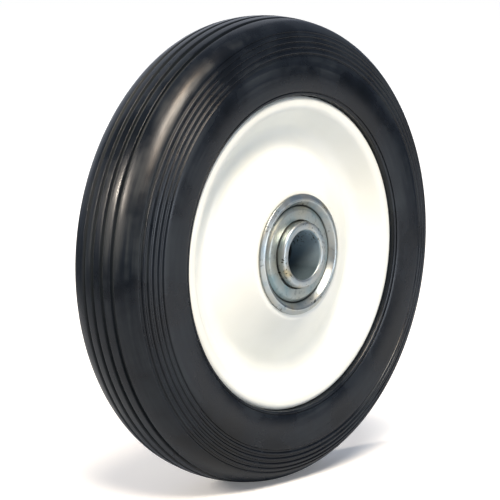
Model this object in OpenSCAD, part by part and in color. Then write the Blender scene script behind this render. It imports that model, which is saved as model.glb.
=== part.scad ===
// Rubber trolley wheel on two flanged ball bearings.
// The axle lies along Y through the origin, the front face looks along -Y and +Z is up.
// Every section below is drawn as [radius, distance out from the wheel's middle plane].

/* [Tyre] */
// Outside diameter of the tyre
tyre_d = 152.4; // [130:0.1:220]
// Width of the tyre across its sidewalls
tyre_w = 33.2; // [30:0.1:40]
// Radius of the tread's crown, seen in section
crown_r = 32; // [26:0.5:60]
// Slope at which the crown turns into the shoulder, in degrees
crown_end = 14; // [10:0.1:17]
// Slope at which the shoulder turns into the sidewall, in degrees
shoulder_end = 75; // [65:1:80]
// Radius of the sidewall, seen in section
wall_r = 31; // [20:1:60]

/* [Tread] */
// Number of grooves round the tread
tread_grooves = 4; // [2:2:4]
// Distance between tread grooves, along the surface
tread_pitch = 4; // [3.5:0.1:4.8]
// Width of a tread groove at its mouth
tread_groove_w = 1.5; // [0.8:0.1:2]
// Depth of a tread groove
tread_groove_depth = 1.1; // [0.6:0.1:2]
// Number of fine grooves on each shoulder
side_grooves = 5; // [3:1:6]
// Distance from the tread's middle to the first shoulder groove, along the surface
side_start = 15.3; // [12.5:0.1:16.5]
// Distance between shoulder grooves, along the surface
side_pitch = 1.88; // [1.4:0.01:2]
// Width of a shoulder groove at its mouth
side_groove_w = 0.8; // [0.4:0.1:1]
// Depth of a shoulder groove
side_groove_depth = 0.7; // [0.3:0.1:1]
// Width of the narrow rubber lip round each disc
bead_lip_w = 1.2; // [0.8:0.1:2]
// Depth of the line that sets the lip apart from the sidewall
bead_line_depth = 0.4; // [0.2:0.1:0.8]

/* [Discs] */
// Diameter of each pressed disc
disc_d = 102; // [96:0.5:110]
// Thickness of the disc's sheet
sheet_t = 1.5; // [1:0.1:2]
// Distance from the middle plane to the disc's outer rim
rim_y = 14.6; // [13.5:0.1:15.5]
// Length of the edge turned back into the rubber
turned_edge = 4; // [3.5:0.1:6]
// Bend radius on the outside of the rim
rim_bend_r = 2; // [1.8:0.1:2.2]
// Width of the flat ring that the rim ends in
rim_flat = 3.6; // [3.4:0.1:4.5]
// Bend radius between the flat ring and the dish
dish_bend_r = 2.5; // [1.5:0.1:3]
// Distance in from the rim's edge to the circle at the bottom of the dish
dish_w = 12.5; // [11:0.1:15]
// Depth below the rim at which the two slopes of the dish would meet
dish_depth = 9.4; // [7:0.1:10]
// Bend radius at the bottom of the dish
valley_bend_r = 7; // [4:0.5:8]
// How far the tyre's base reaches in between the discs from the rim's edge
base_depth = 7.5; // [6:0.1:9]

/* [Hub] */
// Bore of the hub barrel, which takes the bearings
barrel_bore = 34.925; // [33.5:0.001:36]
// Wall of the hub barrel
barrel_wall = 1.5; // [1:0.1:2]
// Length of the hub barrel, from bearing flange to bearing flange
barrel_l = 32.1; // [30:0.1:40]

/* [Bearings] */
// Diameter of the axle
axle_d = 15.875; // [14:0.001:16]
// Wall of the inner race's collar, round the bore
collar_wall = 2.8; // [2.6:0.1:3.1]
// Length over the two collars, which is what fits between the fork's legs
hub_l = 38.1; // [37:0.05:46]
// Length of each inner race
inner_race_l = 12.7; // [12:0.1:14]
// Rounding of the collar's outer corner
collar_round = 0.9; // [0.3:0.1:1]
// Rounding at the mouth of the bore
mouth_round = 0.8; // [0.3:0.1:1]
// Diameter of a ball
ball_d = 6.35; // [6:0.01:6.5]
// Number of balls in each bearing
ball_count = 12; // [9:1:12]
// Distance between the barrel's end and the balls' centres
ball_depth = 5.2; // [5:0.1:5.6]
// How far the bearing's flange reaches out past the barrel
flange_reach = 0.64; // [0.3:0.01:2]
// Height of the flange's ridge over the barrel's end
ridge_h = 1.5; // [1.2:0.1:2]
// Bend radius of the ridge
ridge_bend_r = 1.1; // [0.6:0.1:1.3]
// Depth of the outer race below the flange
cup_depth = 9.3; // [9:0.1:11]
// Width of the shoulder in the outer race that the shield rests on
shield_seat = 1; // [0.6:0.1:1.2]
// Thickness of the shield
shield_t = 0.7; // [0.5:0.1:0.9]
// Height of the shield's flat ring over the barrel's end
shield_rise = 0.35; // [0.1:0.05:0.8]
// How far the shield's rim is turned down
shield_drop = 1.1; // [0.5:0.1:1.2]
// Width of the shield's turned rim
shield_rim = 1.2; // [0.8:0.1:1.6]

/* [Fits] */
// Radial clearance between the axle and the bore
axle_clear = 0.0625; // [0.02:0.0025:0.09]
// Clearance between pieces that are pressed together
press_clear = 0.02; // [0.01:0.01:0.04]
// Clearance between the balls and their grooves
ball_clear = 0.03; // [0.02:0.01:0.05]
// Clearance between the discs and the rubber
rubber_clear = 0.05; // [0.02:0.01:0.1]
// Gap between the shield and the turning collar
shield_gap = 0.4; // [0.3:0.05:0.8]

/* [Hidden] */
$fn = 96;
FRONT = 1;
BACK = -1;
arc_step = 8;

tyre_r = tyre_d / 2;
half_w = tyre_w / 2;
disc_r = disc_d / 2;
valley_r = disc_r - dish_w;
valley_y = rim_y - dish_depth;
tyre_base_r = disc_r - base_depth;
barrel_end = barrel_l / 2;
barrel_bore_r = barrel_bore / 2;
barrel_r = barrel_bore_r + barrel_wall;
bore_r = axle_d / 2 + axle_clear;
collar_r = bore_r + collar_wall;
collar_end = hub_l / 2;
ball_r = ball_d / 2;
ball_y = barrel_end - ball_depth;
cup_r = barrel_bore_r - press_clear;
flange_r = barrel_r + flange_reach;
flange_y = barrel_end + press_clear;

// The ball grooves are a little wider than the balls, as in any ball bearing.
groove_r = ball_r * 1.04;
cup_wall = 1.1;
pitch_r = cup_r - cup_wall - ball_r - ball_clear;
cup_shoulder_r = pitch_r + ball_r * 0.5;
shield_r = cup_shoulder_r + shield_seat;
shield_top = barrel_end + shield_rise;
shield_foot = shield_top - shield_drop - shield_t;
seat_y = shield_foot - press_clear;
outer_groove_centre = pitch_r + ball_r + ball_clear - groove_r;
inner_groove_centre = pitch_r - ball_r - ball_clear + groove_r;

function unit(v) = v / norm(v);
function normal(a) = [cos(a), sin(a)];
function turned(v) = [-v[1], v[0]];
function arc(c, r, a0, a1) =
    let (n = max(3, ceil(abs(a1 - a0) / arc_step)))
    [for (i = [0:n]) c + r * normal(a0 + (a1 - a0) * i / n)];

// A corner of a path replaced by an arc of radius r that meets both sides smoothly.
function bend(a, b, c, r) =
    let (
        u = unit(a - b),
        v = unit(c - b),
        half = acos(u * v) / 2,
        start = b + u * r / tan(half),
        end = b + v * r / tan(half),
        centre = b + unit(u + v) * r / sin(half),
        a0 = atan2(start[1] - centre[1], start[0] - centre[0]),
        turn = atan2(end[1] - centre[1], end[0] - centre[0]) - a0,
        sweep = turn > 180 ? turn - 360 : turn < -180 ? turn + 360 : turn
    )
    arc(centre, r, a0, a0 + sweep);

// A path through points given as [x, y, bend radius], with its corners rounded.
function bent_path(p) = [
    for (i = [0:len(p) - 1])
        let (here = [p[i][0], p[i][1]])
        each i == 0 || i == len(p) - 1 || p[i][2] == 0
            ? [here]
            : bend([p[i - 1][0], p[i - 1][1]], here, [p[i + 1][0], p[i + 1][1]], p[i][2])
];

// A path moved sideways by d, to its left when d is positive.
function offset_path(p, d) = [
    for (i = [0:len(p) - 1])
        let (
            before = i == 0 ? unit(p[1] - p[0]) : unit(p[i] - p[i - 1]),
            after = i == len(p) - 1 ? before : unit(p[i + 1] - p[i]),
            n = turned(unit(before + after))
        )
        p[i] + n * d / (n * turned(before))
];
function reversed(p) = [for (i = [len(p) - 1:-1:0]) p[i]];
function mirrored(p) = [for (q = p) [q[0], -q[1]]];

// The tyre's skin in section is three arcs that meet smoothly: crown, shoulder and sidewall.
// Its slope a runs from 0 on the middle plane through 90 at the widest point.
shoulder_r = (half_w - crown_r * sin(crown_end) - wall_r * (1 - sin(shoulder_end)))
    / (sin(shoulder_end) - sin(crown_end));
crown_centre = [tyre_r - crown_r, 0];
shoulder_centre = crown_centre + (crown_r - shoulder_r) * normal(crown_end);
wall_centre = shoulder_centre + (shoulder_r - wall_r) * normal(shoulder_end);
crown_l = crown_r * crown_end * PI / 180;
shoulder_l = shoulder_r * (shoulder_end - crown_end) * PI / 180;

// Slope of the skin at a distance s along it from the middle plane.
function skin_slope(s) =
    s < crown_l ? s / crown_r * 180 / PI
    : s < crown_l + shoulder_l ? crown_end + (s - crown_l) / shoulder_r * 180 / PI
    : shoulder_end + (s - crown_l - shoulder_l) / wall_r * 180 / PI;
// Point of the skin where its slope is a.
function skin_point(a) =
    a < crown_end ? crown_centre + crown_r * normal(a)
    : a < shoulder_end ? shoulder_centre + shoulder_r * normal(a)
    : wall_centre + wall_r * normal(a);

bead_r = disc_r + rubber_clear;
lip_r = bead_r + bead_lip_w;
bead_slope = acos((bead_r - wall_centre[0]) / wall_r);
lip_slope = acos((lip_r - wall_centre[0]) / wall_r);
skin = concat(
    [for (i = [0:5]) skin_point(crown_end * i / 6)],
    [for (i = [0:11]) skin_point(crown_end + (shoulder_end - crown_end) * i / 12)],
    [for (i = [0:9]) skin_point(shoulder_end + (bead_slope - shoulder_end) * i / 9)]);

// The middle of the disc's sheet, from the edge turned back into the rubber to the barrel.
disc_path = bent_path([
    [disc_r - sheet_t / 2, rim_y - turned_edge, 0],
    [disc_r - sheet_t / 2, rim_y - sheet_t / 2, rim_bend_r - sheet_t / 2],
    [disc_r - rim_flat, rim_y - sheet_t / 2, dish_bend_r],
    [valley_r, valley_y - sheet_t / 2, valley_bend_r],
    [flange_r + 1.2, barrel_end - sheet_t / 2, 2],
    [barrel_r + press_clear, barrel_end - sheet_t / 2, 0]
]);

// The tyre's base follows the sheet inwards from the rim's bend to the tyre's base radius.
under_rim = [for (q = disc_path) if (q[0] > tyre_base_r && q[1] > rim_y - turned_edge) q];
in_dish = [for (q = disc_path) if (q[0] <= tyre_base_r) q];
base_corner = let (a = under_rim[len(under_rim) - 1], b = in_dish[0])
    a + (b - a) * (a[0] - tyre_base_r) / (a[0] - b[0]);

// A revolved section, stood on the axle with its outward side to the front or the back.
module on_axle(side) {
    rotate([90 * side, 0, 0]) rotate_extrude() children();
}

// A groove across the skin, a little narrower at its bottom.
module groove(a, w, depth) {
    translate(skin_point(a)) rotate(a)
        polygon([[1, w * 0.5], [1, -w * 0.5], [-depth, -w * 0.32], [-depth, w * 0.32]]);
}

module disc_section(clear = 0) {
    t = sheet_t / 2 + clear;
    polygon(concat(offset_path(disc_path, t), reversed(offset_path(disc_path, -t))));
}

module half_grooves() {
    for (i = [0:tread_grooves / 2 - 1])
        groove(skin_slope((i + 0.5) * tread_pitch), tread_groove_w, tread_groove_depth);
    for (i = [0:side_grooves - 1])
        groove(skin_slope(side_start + i * side_pitch), side_groove_w, side_groove_depth);
    groove(lip_slope, bead_line_depth, bead_line_depth);
}

module tyre() {
    half = concat(skin, under_rim, [base_corner]);
    color("#24272b") on_axle(FRONT) difference() {
        polygon(concat(half, reversed(mirrored(half))));
        half_grooves();
        mirror([0, 1]) half_grooves();
        disc_section(rubber_clear);
        mirror([0, 1]) disc_section(rubber_clear);
    }
}

module disc(side) {
    color("#efefec") on_axle(side) disc_section();
}

module hub_barrel() {
    color("#a9aeb0") on_axle(FRONT) translate([barrel_bore_r, -barrel_end]) square([barrel_wall, barrel_l]);
}

// The outer race is a drawn cup with a ball groove inside and a bent ridge that covers the barrel's end.
module outer_race(side) {
    ridge_y = barrel_end + ridge_h;
    color("#b4b8b8") on_axle(side) difference() {
        polygon(bent_path([
            [cup_shoulder_r, barrel_end - cup_depth, 0],
            [cup_r, barrel_end - cup_depth, 0],
            [cup_r, flange_y, 0],
            [flange_r, flange_y, 0],
            [flange_r, flange_y + ridge_h * 0.45, ridge_h * 0.25],
            [(flange_r + shield_r) / 2, ridge_y + ridge_h * 0.2, ridge_bend_r],
            [shield_r + press_clear, seat_y + shield_t, 0],
            [shield_r + press_clear, seat_y, 0],
            [cup_shoulder_r, seat_y, 0]
        ]));
        translate([outer_groove_centre, ball_y]) circle(groove_r);
    }
}

// The inner race grips nothing: it stands still on the axle, with a long collar towards the fork.
module inner_race(side) {
    inner_end = collar_end - inner_race_l;
    color("#babdbc") on_axle(side) difference() {
        polygon(bent_path([
            [bore_r, inner_end, 0],
            [collar_r, inner_end, 0],
            [collar_r, collar_end, collar_round],
            [bore_r, collar_end, mouth_round],
            [bore_r, (inner_end + collar_end) / 2, 0]
        ]));
        translate([inner_groove_centre, ball_y]) circle(groove_r);
    }
}

// The shield is a pressed ring whose rim is turned down onto the outer race's shoulder.
module shield(side) {
    hole_r = collar_r + shield_gap;
    flat_r = shield_r - shield_rim;
    color("#9da2a3") on_axle(side) polygon(bent_path([
        [hole_r, shield_top - shield_t, 0],
        [hole_r, shield_top, 0],
        [flat_r, shield_top, 1],
        [shield_r, shield_foot + shield_t, 0],
        [shield_r, shield_foot, 0],
        [shield_r - shield_t * 0.7, shield_foot, 0],
        [flat_r - shield_t * 0.3, shield_top - shield_t, 0.5]
    ]));
}

module ball(side, i) {
    color("#c4c8ca") rotate([0, i * 360 / ball_count, 0])
        translate([pitch_r, -side * ball_y, 0]) sphere(ball_r);
}

tyre();
disc(FRONT);  // front_disc
disc(BACK);  // back_disc
hub_barrel();
outer_race(FRONT);  // front_outer_race
outer_race(BACK);  // back_outer_race
inner_race(FRONT);  // front_inner_race
inner_race(BACK);  // back_inner_race
shield(FRONT);  // front_shield
shield(BACK);  // back_shield
for (i = [1:ball_count]) {
    ball(FRONT, i);
    ball(BACK, i);
}
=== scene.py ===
# %% [markdown]
# A solid rubber trolley wheel. The real one is a handful of round pieces on one axle: a moulded tyre, two
# dished steel discs that clamp it, and a hub with a flanged ball bearing at each end.
# The CAD model holds the exact solids and says which of them turn. This file gives them their looks.
# Every length is written in millimetres, as on a drawing, and becomes metres in one place.

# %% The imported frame
import bpy
import numpy as np
from mathutils import Matrix, Vector


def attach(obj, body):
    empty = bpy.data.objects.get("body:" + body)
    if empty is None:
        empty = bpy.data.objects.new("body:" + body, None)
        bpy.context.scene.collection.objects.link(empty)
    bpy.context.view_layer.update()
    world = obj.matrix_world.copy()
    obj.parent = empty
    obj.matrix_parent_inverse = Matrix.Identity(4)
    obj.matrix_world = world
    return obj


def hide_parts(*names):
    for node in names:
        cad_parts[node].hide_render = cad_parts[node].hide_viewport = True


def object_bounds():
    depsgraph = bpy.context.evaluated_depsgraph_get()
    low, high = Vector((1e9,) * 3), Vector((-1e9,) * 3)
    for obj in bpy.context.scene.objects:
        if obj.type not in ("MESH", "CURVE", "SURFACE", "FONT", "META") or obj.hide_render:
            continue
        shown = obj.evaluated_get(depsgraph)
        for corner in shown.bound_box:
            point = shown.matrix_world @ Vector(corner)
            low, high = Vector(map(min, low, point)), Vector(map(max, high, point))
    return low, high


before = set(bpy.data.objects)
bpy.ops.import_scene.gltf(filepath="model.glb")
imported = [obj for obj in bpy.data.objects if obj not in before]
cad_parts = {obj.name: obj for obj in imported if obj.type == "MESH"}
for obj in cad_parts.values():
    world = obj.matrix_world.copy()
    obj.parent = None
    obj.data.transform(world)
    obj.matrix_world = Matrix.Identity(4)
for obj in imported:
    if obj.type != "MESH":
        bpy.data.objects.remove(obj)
cad_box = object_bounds()
MM = 0.001
FRONT, BACK = 1, -1
print("pieces in the frame:", len(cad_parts))

# %% [markdown]
# The camera stands where the photographer stood: to the front left of the wheel and a little above it, near
# enough for the near side of the tyre to look wider than the far side. Its place and its lens were fitted
# to the outlines of the tyre and the disc, and the small shift puts the wheel where it sits in the frame.

# %% Camera
CAMERA_DISTANCE = 0.8
turn, rise = np.radians([-49.1, 8.35])
back = np.array([np.sin(turn) * np.cos(rise), -np.cos(turn) * np.cos(rise), np.sin(rise)])
right = np.array([np.cos(turn), np.sin(turn), 0])
up = np.cross(back, right)
camera = bpy.data.objects.new("camera", bpy.data.cameras.new("camera"))
pose = np.eye(4)
pose[:3] = np.column_stack([right, up, back, back * CAMERA_DISTANCE])
camera.matrix_world = Matrix(pose.tolist())
camera.data.sensor_width, camera.data.lens = 36, 176.4
camera.data.shift_x, camera.data.shift_y = -0.021, -0.0011
camera.data.clip_end = 60
bpy.context.scene.collection.objects.link(camera)
bpy.context.scene.camera = camera
print("camera at", np.round(back * CAMERA_DISTANCE, 3))

# %% [markdown]
# Every piece of this wheel is round about the axle, so each can be made from its section: the outline that
# a saw cut through the axle would show. A section is a list of [radius, distance out from the middle].
# Screw or Spin modifiers could turn it, but whole numpy arrays are quicker and give even, closed rings.
# First come the three small tools that draw a section: rounded corners, extra points and a parallel line.

# %% Tools for drawing a section
def unit(v):
    """The same direction with length 1."""
    return v / np.linalg.norm(v, axis=-1, keepdims=True)


def turned(v):
    """The direction turned a quarter to the left: (x, y) becomes (-y, x)."""
    return np.stack([-v[..., 1], v[..., 0]], -1)


def rounded(corners, steps=6):
    """Corners [x, y, bend radius] joined by straight lines, each replaced by the arc that touches its two
    sides. The arc's centre is on the corner's bisector, at bend radius / sin(half the corner's angle).
    A corner of radius 0 gives one point many times over, and only the first of them is kept."""
    corners = np.array(corners, float)
    p, r = corners[:, :2], corners[:, 2:]
    to_last, to_next = unit(np.roll(p, 1, 0) - p), unit(np.roll(p, -1, 0) - p)
    half = np.arccos(np.clip((to_last * to_next).sum(1, keepdims=True), -1, 1)) / 2
    centre = p + unit(to_last + to_next) * r / np.sin(half)
    start, end = (p + side * r / np.tan(half) - centre for side in (to_last, to_next))
    first = np.arctan2(start[:, 1], start[:, 0])
    sweep = (np.arctan2(end[:, 1], end[:, 0]) - first + np.pi) % (2 * np.pi) - np.pi
    a = first[:, None] + sweep[:, None] * np.linspace(0, 1, steps + 1)
    path = (centre[:, None] + r[:, None] * np.stack([np.cos(a), np.sin(a)], -1)).reshape(-1, 2)
    tiny = 1e-6
    return path[np.r_[True, np.linalg.norm(np.diff(path, axis=0), axis=1) > tiny]]


def finer(path, longest):
    """The same path with points added evenly, so that no stretch is longer than the length given."""
    step = np.diff(path, axis=0)
    n = np.maximum(1, np.ceil(np.linalg.norm(step, axis=1) / longest)).astype(int)
    k = (np.arange(n.sum()) - np.repeat(np.cumsum(n) - n, n)) / np.repeat(n, n)
    return np.vstack([np.repeat(path[:-1], n, 0) + np.repeat(step, n, 0) * k[:, None], path[-1:]])


def beside(path, d):
    """The path moved to its left by d: each point goes along the mean of its neighbours' normals, and a
    little further at a corner, so that the stretch between two points stays exactly d away."""
    ahead = unit(np.diff(path, axis=0))
    before, after = np.vstack([ahead[:1], ahead]), np.vstack([ahead, ahead[-1:]])
    n = unit(turned(before + after))
    return path + n * d / (n * turned(before)).sum(1, keepdims=True)


# %% [markdown]
# Then comes the tool that carries a closed section round the axle. There is no pole anywhere, because no
# section touches the axle's line. The section's signed area says which way round it was drawn, so the faces
# can be made to look outwards whichever side of the wheel the piece is on.

# %% Carrying a section round the axle
SHARP_BEND = np.radians(50)


def around_axle(name, section, side, turns=256):
    """P(u, v) = (radius(u) cos v, -side out(u), radius(u) sin v), closed in both directions."""
    r, out = section.T * MM
    v = np.linspace(0, 2 * np.pi, turns, endpoint=False)
    points = np.stack([np.outer(r, np.cos(v)), np.outer(-side * out, np.ones(turns)),
                       np.outer(r, np.sin(v))], -1)
    i, j = np.meshgrid(np.arange(len(r)), np.arange(turns), indexing="ij")
    i2, j2 = (i + 1) % len(r), (j + 1) % turns
    quads = np.stack([i * turns + j, i2 * turns + j, i2 * turns + j2, i * turns + j2], -1).reshape(-1, 4)
    area = (r * np.roll(out, -1) - np.roll(r, -1) * out).sum()
    mesh = bpy.data.meshes.new(name)
    mesh.from_pydata(points.reshape(-1, 3), [], quads[:, ::-1] if area * side > 0 else quads)
    mesh.shade_smooth()
    mesh.set_sharp_from_angle(angle=SHARP_BEND)
    piece = bpy.data.objects.new(name, mesh)
    bpy.context.scene.collection.objects.link(piece)
    print(f"{name}: {len(r)} points in section, {2 * len(quads)} triangles")
    return piece


# %% [markdown]
# The disc is pressed from one sheet: its edge is turned back into the rubber, its rim is a flat ring, and
# from there it falls into a dish and rises again to the hub. Drawing the middle of the sheet as one bent
# line and moving it half a thickness to each side keeps the sheet equally thick all along, as a press
# does. The third number at each corner is the radius of the bend there.

# %% Pressed discs
DISC_R, SHEET, RIM, TURNED_EDGE, RIM_FLAT = 51, 1.5, 14.6, 4, 3.6
VALLEY_R, VALLEY = DISC_R - 12.5, RIM - 9.4
FLANGE_R, BARREL_R, BARREL_END, PRESS = 19.6025, 18.9625, 16.05, 0.02
sheet_middle = rounded([
    [DISC_R - SHEET / 2, RIM - TURNED_EDGE, 0],
    [DISC_R - SHEET / 2, RIM - SHEET / 2, 1.25],
    [DISC_R - RIM_FLAT, RIM - SHEET / 2, 2.5],
    [VALLEY_R, VALLEY - SHEET / 2, 7],
    [FLANGE_R + 1.2, BARREL_END - SHEET / 2, 2],
    [BARREL_R + PRESS, BARREL_END - SHEET / 2, 0]], steps=10)
sheet_middle = finer(sheet_middle, longest=1.2)
sheet = np.vstack([beside(sheet_middle, SHEET / 2), beside(sheet_middle, -SHEET / 2)[::-1]])
front_disc = around_axle("front_disc_pressing", sheet, FRONT)
back_disc = around_axle("back_disc_pressing", sheet, BACK)

# %% [markdown]
# The tyre's skin is three arcs that run smoothly into each other: a flat crown, a tight shoulder and a
# long, barely curved sidewall. The grooves are easiest to draw on a flat strip, as distance along the skin
# and height above it, and to lay on the arcs afterwards. Their mouths and floors are rounded, as rubber is
# where it leaves a mould, and those small roundings are what catch the light as thin lines.

# %% The tyre's skin
TYRE_R, HALF_W, CROWN_R, WALL_R, CLEAR = 76.2, 16.6, 32, 31, 0.05
CROWN_END, SHOULDER_END = np.radians([14, 75])
SHOULDER_R = ((HALF_W - CROWN_R * np.sin(CROWN_END) - WALL_R * (1 - np.sin(SHOULDER_END)))
              / (np.sin(SHOULDER_END) - np.sin(CROWN_END)))


def direction(slope):
    """The unit vector (cos slope, sin slope), which points straight out of a skin of that slope."""
    return np.stack([np.cos(slope), np.sin(slope)], -1)


CROWN_C = np.array([TYRE_R - CROWN_R, 0])
SHOULDER_C = CROWN_C + (CROWN_R - SHOULDER_R) * direction(CROWN_END)
WALL_C = SHOULDER_C + (SHOULDER_R - WALL_R) * direction(SHOULDER_END)
CROWN_L, SHOULDER_L = CROWN_R * CROWN_END, SHOULDER_R * (SHOULDER_END - CROWN_END)


def on_skin(strip):
    """Lays points [s, h] on the skin: s along it from the tread's middle, h out of it. On an arc of radius
    R the slope grows by s / R, and the point is the arc's centre + (R + h) times the slope's direction."""
    s, h = strip.T
    arcs = [s < CROWN_L, s < CROWN_L + SHOULDER_L]
    slope = np.select(arcs, [s / CROWN_R, CROWN_END + (s - CROWN_L) / SHOULDER_R],
                      SHOULDER_END + (s - CROWN_L - SHOULDER_L) / WALL_R)
    radius = np.select(arcs, [CROWN_R, SHOULDER_R], WALL_R)
    centre = np.where(arcs[0][:, None], CROWN_C, np.where(arcs[1][:, None], SHOULDER_C, WALL_C))
    return centre + (radius + h)[:, None] * direction(slope)


def along_skin(r):
    """Distance along the skin to the place on the sidewall where the radius is r."""
    return CROWN_L + SHOULDER_L + WALL_R * (np.arccos((r - WALL_C[0]) / WALL_R) - SHOULDER_END)


print(f"shoulder radius {SHOULDER_R:.2f}, skin {along_skin(DISC_R + CLEAR):.1f} mm from middle to disc")

# %% [markdown]
# The tread has two wide grooves on each side of its middle, the shoulder has five fine ones, and one line
# marks off the narrow lip that the tyre presses against the disc. From the lip the section follows the
# underside of the disc, because the disc's turned edge sits in a slit in the rubber, and ends on the base.

# %% Grooves and the tyre's section
TREAD_PITCH, SIDE_START, SIDE_PITCH, LIP_W = 4, 15.3, 1.88, 1.2
TREAD_CUT, SIDE_CUT, LIP_CUT = (1.5, 1.0, 0.22), (1.1, 0.5, 0.45), (0.4, 0.4, 0.08)  # width, depth, rounding
AT_MOUTH, AT_FLOOR = 0.5, 0.32  # half a groove's width there, as a share of its whole width
BEAD_R, BASE_R = DISC_R + CLEAR, DISC_R - 7.5
TREAD_AT = (np.arange(2) + 0.5) * TREAD_PITCH
SIDE_AT = SIDE_START + np.arange(5) * SIDE_PITCH
grooves = ([(s, *TREAD_CUT) for s in TREAD_AT] + [(s, *SIDE_CUT) for s in SIDE_AT]
           + [(along_skin(BEAD_R + LIP_W), *LIP_CUT)])
strip = [[0, 0, 0]]
for at, width, depth, soft in grooves:
    strip += [[at - width * AT_MOUTH, 0, soft], [at - width * AT_FLOOR, -depth, soft / 2],
              [at + width * AT_FLOOR, -depth, soft / 2], [at + width * AT_MOUTH, 0, soft]]
AT_DISC, TURN_IN = along_skin(BEAD_R), 0.3
strip += [[AT_DISC - TURN_IN, 0, 0.2], [AT_DISC - 0.02, -TURN_IN, 0]]
skin = on_skin(finer(rounded(strip, steps=3), longest=1.0))
under_sheet = beside(sheet_middle, SHEET / 2 + CLEAR)
under_sheet = under_sheet[under_sheet[:, 0] > BASE_R]
slit = [[BEAD_R, RIM - TURNED_EDGE]]
half = np.vstack([skin, slit, under_sheet, [[BASE_R, under_sheet[-1, 1]]]])
mirror = half[::-1] * [1, -1]
tyre = around_axle("moulded_tyre", np.vstack([half, mirror[:-1]]), FRONT, turns=240)

# %% [markdown]
# Each end of the hub has one bearing. Its outer race is a drawn cup whose round lip covers the end of the
# hub's tube. The inner race is turned from bar and stands still on the axle, with a long collar that keeps
# the wheel off the fork. A flat shield closes the space between them, where the balls and the grease are.
# The ball grooves inside are hidden, but they are drawn too, so that the balls have their room. Their
# radius is 4% larger than a ball's, as in real bearings.

# %% Bearing pieces
BALL_R, BALL_OUT, PITCH_R, BALL_PLAY = 3.175, BARREL_END - 5.2, 13.1375, 0.03
GROOVE_R, CUP_R, CUP_L, SHOULDER = BALL_R * 1.04, 17.4425, 9.3, PITCH_R + BALL_R * 0.5
OUTER_C, INNER_C = PITCH_R + BALL_R + BALL_PLAY - GROOVE_R, PITCH_R - BALL_R - BALL_PLAY + GROOVE_R
SHIELD_R, SHIELD_T, RIDGE_H = SHOULDER + 1, 0.7, 1.5
SHIELD_TOP = BARREL_END + 0.35
FOOT = SHIELD_TOP - 1.1 - SHIELD_T
COLLAR_R, BORE_R, COLLAR_END, RACE_L = 10.8, 8.0, 19.05, 12.7


def ball_groove(centre, r, wall, towards):
    """The arc of a ball groove of radius r between its two crossings with the wall at that radius.
    towards is 1 where the groove opens towards the axle and -1 where it opens away from it."""
    a = np.arccos((wall - centre) / r)
    a = np.linspace(-a, a, 15) if towards > 0 else np.linspace(2 * np.pi - a, a, 15)
    return np.stack([centre + r * np.cos(a), BALL_OUT + r * np.sin(a)], -1)


RIDGE_R, RIDGE_TOP = (FLANGE_R + SHIELD_R) / 2, BARREL_END + RIDGE_H * 1.2
cup = rounded([
    [SHOULDER, FOOT - PRESS, 0],
    [SHIELD_R + PRESS, FOOT - PRESS, 0],
    [SHIELD_R + PRESS, FOOT + SHIELD_T, 0.1],
    [RIDGE_R, RIDGE_TOP, 1.1],
    [FLANGE_R, BARREL_END + PRESS + RIDGE_H * 0.45, RIDGE_H * 0.25],
    [FLANGE_R, BARREL_END + PRESS, 0.12],
    [CUP_R, BARREL_END + PRESS, 0],
    [CUP_R, BARREL_END - CUP_L, 0.4],
    [SHOULDER, BARREL_END - CUP_L, 0.2]], steps=8)
cup = np.vstack([cup, ball_groove(OUTER_C, GROOVE_R, SHOULDER, 1)])
inner = rounded([
    [COLLAR_R, COLLAR_END, 0.9],
    [BORE_R, COLLAR_END, 0.8],
    [BORE_R, COLLAR_END - RACE_L, 0.3],
    [COLLAR_R, COLLAR_END - RACE_L, 0.3]], steps=8)
inner = np.vstack([inner, ball_groove(INNER_C, GROOVE_R, COLLAR_R, -1)])
HOLE_R, FLAT_R = COLLAR_R + 0.4, SHIELD_R - 1.2
ring = rounded([
    [HOLE_R, SHIELD_TOP - SHIELD_T, 0.1],
    [HOLE_R, SHIELD_TOP, 0.2],
    [FLAT_R, SHIELD_TOP, 1],
    [SHIELD_R, FOOT + SHIELD_T, 0.08],
    [SHIELD_R, FOOT, 0],
    [SHIELD_R - SHIELD_T * 0.7, FOOT, 0],
    [FLAT_R - SHIELD_T * 0.3, SHIELD_TOP - SHIELD_T, 0.5]], steps=6)
bearings = {}
for where, side in (("front", FRONT), ("back", BACK)):
    bearings[where] = {
        "outer_race": around_axle(where + "_drawn_cup", cup, side, turns=160),
        "inner_race": around_axle(where + "_turned_collar", inner, side, turns=160),
        "shield": around_axle(where + "_pressed_shield", ring, side, turns=160)}

# %% [markdown]
# Materials are made of nodes, and a node needs its settings, its values and its links. One small function
# does all three. Colours are written as a paint chip would be, in sRGB hex, and turned linear in one place.
# Patterns read Object coordinates, which are metres here, so a pattern of L millimetres has scale 1000 / L.

# %% Tools for materials
def colour(code):
    """sRGB hex to linear: c / 12.92 near black, and ((c + 0.055) / 1.055) to the power 2.4 above."""
    c = np.array([int(code[k:k + 2], 16) for k in (1, 3, 5)]) / 255
    return (*np.where(c <= 0.04045, c / 12.92, ((c + 0.055) / 1.055) ** 2.4).tolist(), 1.0)


def add(tree, kind, settings={}, **inputs):
    """Adds one node. settings are its properties, or the stops (position, hex) of its colour ramp. An input
    is named as on the node, with _ for a space, or i0, i1 for its number, and takes a value or a socket."""
    n = tree.nodes.new("ShaderNode" + kind)
    for key, value in settings.items():
        if key == "stops":
            for _ in value[2:]:
                n.color_ramp.elements.new(1)
            for element, (position, code) in zip(n.color_ramp.elements, value):
                element.position, element.color = position, colour(code)
        else:
            setattr(n, key, value)
    for key, value in inputs.items():
        socket = n.inputs[int(key[1:]) if key[1:].isdigit() else key.replace("_", " ")]
        if isinstance(value, bpy.types.NodeSocket):
            tree.links.new(value, socket)
        else:
            socket.default_value = value
    return n


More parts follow.
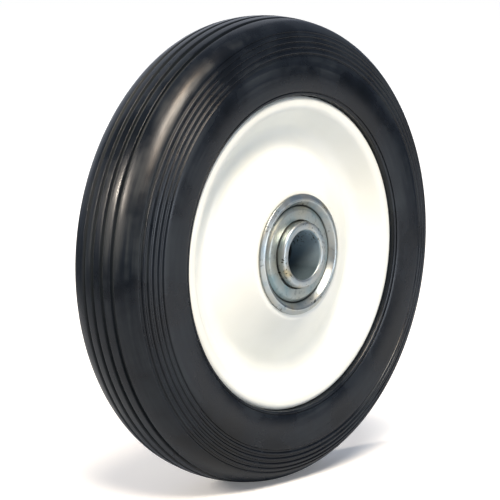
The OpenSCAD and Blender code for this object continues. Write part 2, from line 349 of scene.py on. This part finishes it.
def new_material(name):
    """An empty material, its tree, and its object coordinates."""
    material = bpy.data.materials.new(name)
    material.use_nodes = True
    material.node_tree.nodes.clear()
    return material, material.node_tree, add(material.node_tree, "TexCoord").outputs["Object"]


# %% [markdown]
# Many marks on a wheel lie in rings round its axle, because they come from turning: the tool's marks on the
# collars and dust dragged round the tread. The painted shade where the shield meets the race is a ring too.
# They all need the distance from the axle, so that is worked out once in a material that wants it.

# %% Distance from the axle
def from_axle(tree, place):
    """The square root of x squared + z squared, and y, the place along the axle."""
    parts = add(tree, "SeparateXYZ", Vector=place)
    across = add(tree, "CombineXYZ", X=parts.outputs[0], Z=parts.outputs[2]).outputs[0]
    return add(tree, "VectorMath", {"operation": "LENGTH"}, i0=across).outputs["Value"], parts.outputs[1]


# %% [markdown]
# Black rubber, moulded and cured in a polished steel mould. It is nearly as smooth as the mould, so it
# reflects lights clearly on the round shoulder, while wax that blooms to the surface leaves slightly
# duller, bluer patches some centimetres wide. Hand polishing left the mould in faint waves of about 9 mm.
# Dust dragged round the wheel leaves grey streaks about 1.5 mm wide, and more of it has settled in the
# tread's grooves, which look grey and not black. They lie at |y| = 2 and 6 mm, so ||(|y| - 4)| - 2| mm is
# the distance from the nearest one. The fine grain is drawn at 0.6 mm, coarser than it is, so that it shows.

# %% Moulded rubber
rubber, tree, place = new_material("moulded_black_rubber")
radius, along = from_axle(tree, place)
bloom = add(tree, "TexNoise", Vector=place, Scale=1000 / 28, Detail=4.0, Roughness=0.6).outputs["Fac"]
grain = add(tree, "TexNoise", Vector=place, Scale=1000 / 0.6, Detail=2.0).outputs["Fac"]
ripple = add(tree, "TexNoise", Vector=place, Scale=1000 / 9, Detail=2.0).outputs["Fac"]
slow = add(tree, "VectorMath", {"operation": "SCALE"}, i0=place, Scale=0.05).outputs[0]
dragged = add(tree, "VectorMath", {"operation": "ADD"}, i1=slow,
              i0=add(tree, "CombineXYZ", X=radius, Y=along).outputs[0]).outputs[0]
streak = add(tree, "TexNoise", Vector=dragged, Scale=1000 / 1.5, Detail=3.0).outputs["Fac"]
dust = add(tree, "Math", {"operation": "MULTIPLY"},
           i0=add(tree, "MapRange", i0=streak, i1=0.35, i2=0.65, i4=0.8).outputs[0],
           i1=add(tree, "MapRange", i0=bloom, i1=0.46, i2=0.62).outputs[0]).outputs[0]
away = add(tree, "Math", {"operation": "ABSOLUTE"}, i0=along).outputs[0]
for step in (TREAD_PITCH, TREAD_PITCH / 2):
    away = add(tree, "Math", {"operation": "SUBTRACT"}, i0=away, i1=step * MM).outputs[0]
    away = add(tree, "Math", {"operation": "ABSOLUTE"}, i0=away).outputs[0]
settled = add(tree, "MapRange", i0=away, i1=0.85 * MM, i2=0.5 * MM, i4=0.85).outputs[0]
dust = add(tree, "Math", {"operation": "MAXIMUM"}, i0=dust, i1=settled).outputs[0]
waxy = add(tree, "ValToRGB", {"stops": [(0.32, "#03060a"), (0.68, "#0d141e")]}, Fac=bloom).outputs[0]
skin_colour = add(tree, "Mix", {"data_type": "RGBA"}, Factor=dust, i6=waxy, i7=colour("#20262a")).outputs[2]
rough = add(tree, "MapRange", i0=bloom, i1=0.32, i2=0.68, i3=0.19, i4=0.34).outputs[0]
rough = add(tree, "Math", {"operation": "ADD"}, i0=rough,
            i1=add(tree, "Math", {"operation": "MULTIPLY"}, i0=dust, i1=0.25).outputs[0]).outputs[0]
fine = add(tree, "Bump", Strength=0.12, Distance=0.05 * MM, Height=grain).outputs[0]
waves = add(tree, "Bump", Strength=0.3, Distance=0.2 * MM, Height=ripple, Normal=fine).outputs[0]
surface = add(tree, "BsdfPrincipled", Base_Color=skin_colour, Roughness=rough, Normal=waves, IOR=1.52,
              Specular_IOR_Level=0.35)
add(tree, "OutputMaterial", Surface=surface.outputs[0])
print(f"{rubber.name}: {len(tree.nodes)} nodes")

# %% [markdown]
# White enamel, stoved on the pressed disc: a clean, glossy coat that has flowed into a faint orange peel,
# about 3 mm from crest to crest, so that the edge of a reflection trembles. Handling has left clouds a
# little greyer than the rest, about 22 mm wide.

# %% Stoved enamel
enamel, tree, place = new_material("stoved_white_enamel")
peel = add(tree, "TexNoise", Vector=place, Scale=1000 / 3, Detail=1.0).outputs["Fac"]
cloud = add(tree, "TexNoise", Vector=place, Scale=1000 / 22, Detail=3.0).outputs["Fac"]
clouded = add(tree, "ValToRGB", {"stops": [(0.3, "#eaece6"), (0.75, "#e0e2da")]}, Fac=cloud).outputs[0]
peeled = add(tree, "Bump", Strength=0.2, Distance=0.06 * MM, Height=peel).outputs[0]
surface = add(tree, "BsdfPrincipled", Base_Color=clouded, Roughness=0.28, Normal=peeled, IOR=1.5)
add(tree, "OutputMaterial", Surface=surface.outputs[0])
print(f"{enamel.name}: {len(tree.nodes)} nodes")

# %% [markdown]
# Bright zinc plate on turned and drawn steel. Zinc is a slightly blue metal; the clear dip after plating
# leaves faint straw and blue tints some 6 mm wide, and wiping leaves smears of 1.6 mm that vary its gloss.
# The turning tool leaves rings round the axle, drawn 0.35 mm apart, which pull a reflection out sideways.
# Small dark specks of dirt, 0.9 mm, sit in patches. A dark line of painted shade marks the crevice where the
# race meets its shield, a fainter painted dark reflection runs along the crest of the race's ridge, and
# painted shade darkens the flange's outer edge, where it meets the disc, and the lower half of the bore.

# %% Bright zinc: tints and turning marks
zinc, tree, place = new_material("bright_zinc_plate")
radius, along = from_axle(tree, place)
tint = add(tree, "TexNoise", Vector=place, Scale=1000 / 6, Detail=2.0).outputs["Fac"]
smear = add(tree, "TexNoise", Vector=place, Scale=1000 / 1.6, Detail=4.0, Roughness=0.6).outputs["Fac"]
blue_to_straw = [(0.32, "#a6b4b9"), (0.48, "#bcc2c1"), (0.62, "#c0c1b9"), (0.72, "#c0b697")]
base = add(tree, "ValToRGB", {"stops": blue_to_straw}, Fac=tint).outputs[0]
across = add(tree, "Math", {"operation": "ADD"}, i0=radius, i1=along).outputs[0]
RING_GAP = 0.35
phase = add(tree, "Math", {"operation": "MULTIPLY"}, i0=across, i1=2 * np.pi / (RING_GAP * MM)).outputs[0]
rings = add(tree, "Math", {"operation": "SINE"}, i0=phase).outputs[0]
marks = add(tree, "Bump", Strength=0.12, Distance=0.02 * MM, Height=rings).outputs[0]
marks = add(tree, "Bump", Strength=0.2, Distance=0.05 * MM, Height=smear, Normal=marks).outputs[0]

# %% Bright zinc: the dull bore, painted shade and dark lines, and the dirt
in_bore = add(tree, "MapRange", {"interpolation_type": "SMOOTHSTEP"}, i0=radius, i1=(BORE_R + 0.06) * MM,
              i2=(BORE_R + 0.25) * MM, i3=1.0, i4=0.0).outputs[0]
# Painted shade: the bore is darker towards its lower half.
height = add(tree, "SeparateXYZ", Vector=place).outputs[2]
low = add(tree, "MapRange", i0=height, i1=2 * MM, i2=-5 * MM).outputs[0]
bore_painted_shade = add(tree, "Math", {"operation": "MULTIPLY"}, i0=in_bore, i1=low).outputs[0]
# Painted shade at the flange's outer edge, in the crevice where it meets the disc.
flange_edge_painted_shade = add(tree, "MapRange", {"interpolation_type": "SMOOTHSTEP"}, i0=radius, i1=(FLANGE_R - 0.2) * MM,
              i2=FLANGE_R * MM, i4=0.7).outputs[0]
speck = add(tree, "TexNoise", Vector=place, Scale=1000 / 0.9, Detail=1.0).outputs["Fac"]
patch = add(tree, "TexNoise", Vector=place, Scale=1000 / 9, Detail=1.0).outputs["Fac"]
dirt = add(tree, "Math", {"operation": "MULTIPLY"},
           i0=add(tree, "MapRange", i0=speck, i1=0.58, i2=0.68).outputs[0],
           i1=add(tree, "MapRange", i0=patch, i1=0.48, i2=0.6).outputs[0]).outputs[0]
# Two painted dark lines: painted shade in the crevice where the race meets its shield, and a painted dark
# reflection along the crest of the race's ridge.
painted_dark_lines = []
for ring_r, width, darkness in ((SHIELD_R, 0.45, 0.85), (RIDGE_R + 0.1, 0.28, 0.55)):
    away = add(tree, "Math", {"operation": "SUBTRACT"}, i0=radius, i1=ring_r * MM).outputs[0]
    away = add(tree, "Math", {"operation": "ABSOLUTE"}, i0=away).outputs[0]
    painted_dark_lines.append(add(tree, "MapRange", {"interpolation_type": "SMOOTHSTEP"}, i0=away, i1=width / 4 * MM,
                     i2=width * MM, i3=darkness, i4=0.0).outputs[0])
coats = ((in_bore, "#b2c8d4"), (bore_painted_shade, "#54646c"), (flange_edge_painted_shade, "#7c7f7a"), (dirt, "#4a4a42"),
         (painted_dark_lines[0], "#3c3f3d"), (painted_dark_lines[1], "#5a5d59"))
for mask, tone in coats:
    base = add(tree, "Mix", {"data_type": "RGBA"}, Factor=mask, i6=base, i7=colour(tone)).outputs[2]
rough = add(tree, "MapRange", i0=smear, i1=0.35, i2=0.7, i3=0.32, i4=0.46).outputs[0]
rough = add(tree, "Math", {"operation": "ADD"}, i0=rough,
            i1=add(tree, "Math", {"operation": "MULTIPLY"}, i0=in_bore, i1=0.22).outputs[0]).outputs[0]
metal = add(tree, "MapRange", i0=in_bore, i3=1.0, i4=0.6).outputs[0]
surface = add(tree, "BsdfPrincipled", Base_Color=base, Metallic=metal, Roughness=rough, Normal=marks)
add(tree, "OutputMaterial", Surface=surface.outputs[0])
print(f"{zinc.name}: {len(tree.nodes)} nodes")

# %% [markdown]
# The shields are pressed from zinc plated strip. The strip was rolled, not turned, so it is duller: a fine
# mottle, drawn at 1.2 mm, breaks up what it reflects, and the plating's tint is bluer.

# %% Matt zinc of the shields
shield_zinc, tree, place = new_material("pressed_zinc_plate")
radius = from_axle(tree, place)[0]
mottle = add(tree, "TexNoise", Vector=place, Scale=1000 / 1.2, Detail=4.0).outputs["Fac"]
tint = add(tree, "TexNoise", Vector=place, Scale=1000 / 9, Detail=2.0).outputs["Fac"]
duller = [(0.35, "#8ea4a8"), (0.5, "#aab1ad"), (0.68, "#b2b2a5")]
base = add(tree, "ValToRGB", {"stops": duller}, Fac=tint).outputs[0]
spots = add(tree, "MapRange", i0=mottle, i1=0.56, i2=0.68, i3=0.0, i4=0.45).outputs[0]
# A dark ring of painted shade at the shield's rim, where it tucks into the race.
shield_rim_painted_shade = add(tree, "MapRange", {"interpolation_type": "SMOOTHSTEP"}, i0=radius, i1=(SHIELD_R - 0.5) * MM,
           i2=(SHIELD_R - 0.1) * MM, i3=0.0, i4=0.85).outputs[0]
base = add(tree, "Mix", {"data_type": "RGBA"}, Factor=spots, i6=base, i7=colour("#767b79")).outputs[2]
base = add(tree, "Mix", {"data_type": "RGBA"}, Factor=shield_rim_painted_shade, i6=base, i7=colour("#3c3f3d")).outputs[2]
rough = add(tree, "MapRange", i0=mottle, i1=0.3, i2=0.7, i3=0.34, i4=0.5).outputs[0]
pressed = add(tree, "Bump", Strength=0.4, Distance=0.04 * MM, Height=mottle).outputs[0]
surface = add(tree, "BsdfPrincipled", Base_Color=base, Metallic=1.0, Roughness=rough, Normal=pressed)
add(tree, "OutputMaterial", Surface=surface.outputs[0])
print(f"{shield_zinc.name}: {len(tree.nodes)} nodes")

# %% [markdown]
# Two materials are hidden in the hub, and they show only when it is taken apart: the tube, drawn through a
# die that leaves fine lines along it, here 0.5 mm wide, and the balls, lapped until they are mirrors with a
# thin film of grease.

# %% Drawn tube and balls
tube_steel, tree, place = new_material("drawn_steel_tube")
lengthways = add(tree, "Mapping", Vector=place, Scale=(1, 0.05, 1)).outputs[0]
lines = add(tree, "TexNoise", Vector=lengthways, Scale=1000 / 0.5, Detail=2.0).outputs["Fac"]
grey = add(tree, "ValToRGB", {"stops": [(0.3, "#8d9192"), (0.7, "#a5a8a8")]}, Fac=lines).outputs[0]
scored = add(tree, "Bump", Strength=0.3, Distance=0.03 * MM, Height=lines).outputs[0]
surface = add(tree, "BsdfPrincipled", Base_Color=grey, Metallic=1.0, Roughness=0.35, Normal=scored)
add(tree, "OutputMaterial", Surface=surface.outputs[0])

ball_steel, tree, place = new_material("lapped_ball_steel")
film = add(tree, "TexNoise", Vector=place, Scale=1000 / 2, Detail=2.0).outputs["Fac"]
bright = add(tree, "ValToRGB", {"stops": [(0.3, "#c9cbcd"), (0.7, "#d6d7d8")]}, Fac=film).outputs[0]
rough = add(tree, "MapRange", i0=film, i1=0.3, i2=0.7, i3=0.06, i4=0.14).outputs[0]
surface = add(tree, "BsdfPrincipled", Base_Color=bright, Metallic=1.0, Roughness=rough)
add(tree, "OutputMaterial", Surface=surface.outputs[0])
print(tube_steel.name, "and", ball_steel.name)

# %% [markdown]
# Each new piece now gets its material, the CAD body that it turns with and the CAD solid that it stands
# for. The hub's tube and the balls keep their CAD solids, which are already the right shape.

# %% Pieces on their bodies
def dress(piece, material, body, node):
    """Gives a piece its finish and puts it in the place of its CAD solid."""
    piece.data.materials.append(material)
    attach(piece, body)
    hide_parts(node)


dress(tyre, rubber, "wheel", "tyre")
dress(front_disc, enamel, "wheel", "front_disc")
dress(back_disc, enamel, "wheel", "back_disc")
for where, pieces in bearings.items():
    dress(pieces["outer_race"], zinc, "wheel", where + "_outer_race")
    dress(pieces["inner_race"], zinc, "inner_races", where + "_inner_race")
    dress(pieces["shield"], shield_zinc, "wheel", where + "_shield")
for name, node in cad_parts.items():
    if "_ball_" in name or name == "hub_barrel":
        node.data.materials.clear()
        node.data.materials.append(ball_steel if "_ball_" in name else tube_steel)
print("new pieces:", 3 + 3 * len(bearings), "of", len(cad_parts))

# %% [markdown]
# The photograph is a studio picture on white, and black rubber shows mostly what it reflects. The camera
# sees one pale floor, with a little glow so that its far part stays white. For everything else, light
# included, the paper carries two painted pools of light, one near the wheel and one in front of it, and is
# dark further off, so that the sidewall shows a soft grey and not a white glare. The backdrop is white to
# the camera too, and grey as a light.

# %% Floor and backdrop
FLOOR_Z, reach = cad_box[0][2], 30
floor_mesh = bpy.data.meshes.new("floor")
floor_mesh.from_pydata([(x * reach, y * reach, FLOOR_Z) for x, y in ((-1, -1), (1, -1), (1, 1), (-1, 1))],
                       [], [(0, 1, 2, 3)])
floor = bpy.data.objects.new("floor", floor_mesh)
bpy.context.scene.collection.objects.link(floor)
paper, tree, place = new_material("white_studio_paper")
WHITE, GLOW = colour("#ffffff"), 0.14
# Two painted pools of light on the paper, seen only in reflections and in the light that bounces off it.
painted_light_pools = []
for middle, full_to, gone_at, most in (((0, 0), 0.15, 0.4, 0.6), ((0.14, -0.42), 0.28, 0.55, 1.0)):
    away = add(tree, "VectorMath", {"operation": "DISTANCE"}, i0=place, i1=(*middle, FLOOR_Z))
    painted_light_pools.append(add(tree, "MapRange", i0=away.outputs["Value"], i1=full_to, i2=gone_at, i3=most,
                     i4=0.0).outputs[0])
lit = add(tree, "Math", {"operation": "MAXIMUM"}, i0=painted_light_pools[0], i1=painted_light_pools[1]).outputs[0]
grounds = add(tree, "Mix", {"data_type": "RGBA"}, Factor=lit, i6=colour("#343a44"),
              i7=colour("#ccd4de")).outputs[2]
seen = add(tree, "LightPath").outputs["Is Camera Ray"]
pale = add(tree, "Mix", {"data_type": "RGBA"}, Factor=seen, i6=grounds, i7=WHITE).outputs[2]
glow = add(tree, "Math", {"operation": "MULTIPLY"}, i0=seen, i1=GLOW).outputs[0]
surface = add(tree, "BsdfPrincipled", Base_Color=pale, Roughness=0.9, Emission_Color=WHITE,
              Emission_Strength=glow)
add(tree, "OutputMaterial", Surface=surface.outputs[0])
floor_mesh.materials.append(paper)

world = bpy.data.worlds.new("studio")
world.use_nodes = True
tree = world.node_tree
seen = add(tree, "LightPath").outputs["Is Camera Ray"]
sky = add(tree, "Mix", {"data_type": "RGBA"}, Factor=seen, i6=colour("#777e8c"), i7=WHITE).outputs[2]
tree.links.new(sky, tree.nodes["Background"].inputs["Color"])
bpy.context.scene.world = world
bpy.context.scene.view_settings.view_transform = "Standard"
print(f"floor at {FLOOR_Z:.4f} m, {2 * reach} m wide")

# %% [markdown]
# Daylight from the upper left, softened to a wide source, lights the disc and draws the broad highlight on
# the tyre's shoulder, and a long warm box beside it stretches that highlight down the shoulder. A narrow
# strip from behind at the left draws the lines of light along the tread's ribs, and a low card in front
# fills the dish. A large dim box behind keeps the far side of the wheel from going dark.

# %% Lights
def soft_box(name, towards, distance, width, length, watts, tone, along=(0, 0, 1)):
    """A rectangular light at a distance in one direction from the wheel, facing it, its length along another
    direction. Its axes are z, towards it, y, the part of along that is square to z, and x, y cross z."""
    light = bpy.data.lights.new(name, "AREA")
    light.shape, light.size, light.size_y = "RECTANGLE", width, length
    light.energy, light.color = watts, colour(tone)[:3]
    lamp = bpy.data.objects.new(name, light)
    z = unit(np.array(towards, float))
    y = unit(np.array(along, float) - (z @ along) * z)
    pose = np.eye(4)
    pose[:3] = np.column_stack([np.cross(y, z), y, z, z * distance])
    lamp.matrix_world = Matrix(pose.tolist())
    lamp.visible_camera = False
    bpy.context.scene.collection.objects.link(lamp)


sun = bpy.data.lights.new("daylight", "SUN")
sun.energy, sun.angle, sun.color = 2.65, np.radians(26), colour("#fffcf4")[:3]
daylight = bpy.data.objects.new("daylight", sun)
to_sun = Vector((-0.34, -0.44, 0.83))
daylight.rotation_euler = to_sun.to_track_quat("Z", "Y").to_euler()
bpy.context.scene.collection.objects.link(daylight)
soft_box("key", (-0.36, -0.40, 0.82), 1.1, 0.18, 0.75, 11.2, "#ffe2c2", along=(-0.6, -0.5, -0.55))
soft_box("strip", (-0.84, 0.35, 0.42), 1.2, 0.035, 0.3, 11, "#fff2e2")
soft_box("card", (0.2, -0.97, 0.02), 1.0, 0.5, 0.28, 2.8, "#e8f0fb")
soft_box("dim", (0.4, 0.8, 0.5), 1.5, 1.6, 1.6, 3.5, "#f2f6ff")
print("daylight and", len(bpy.data.lights) - 1, "boxes")
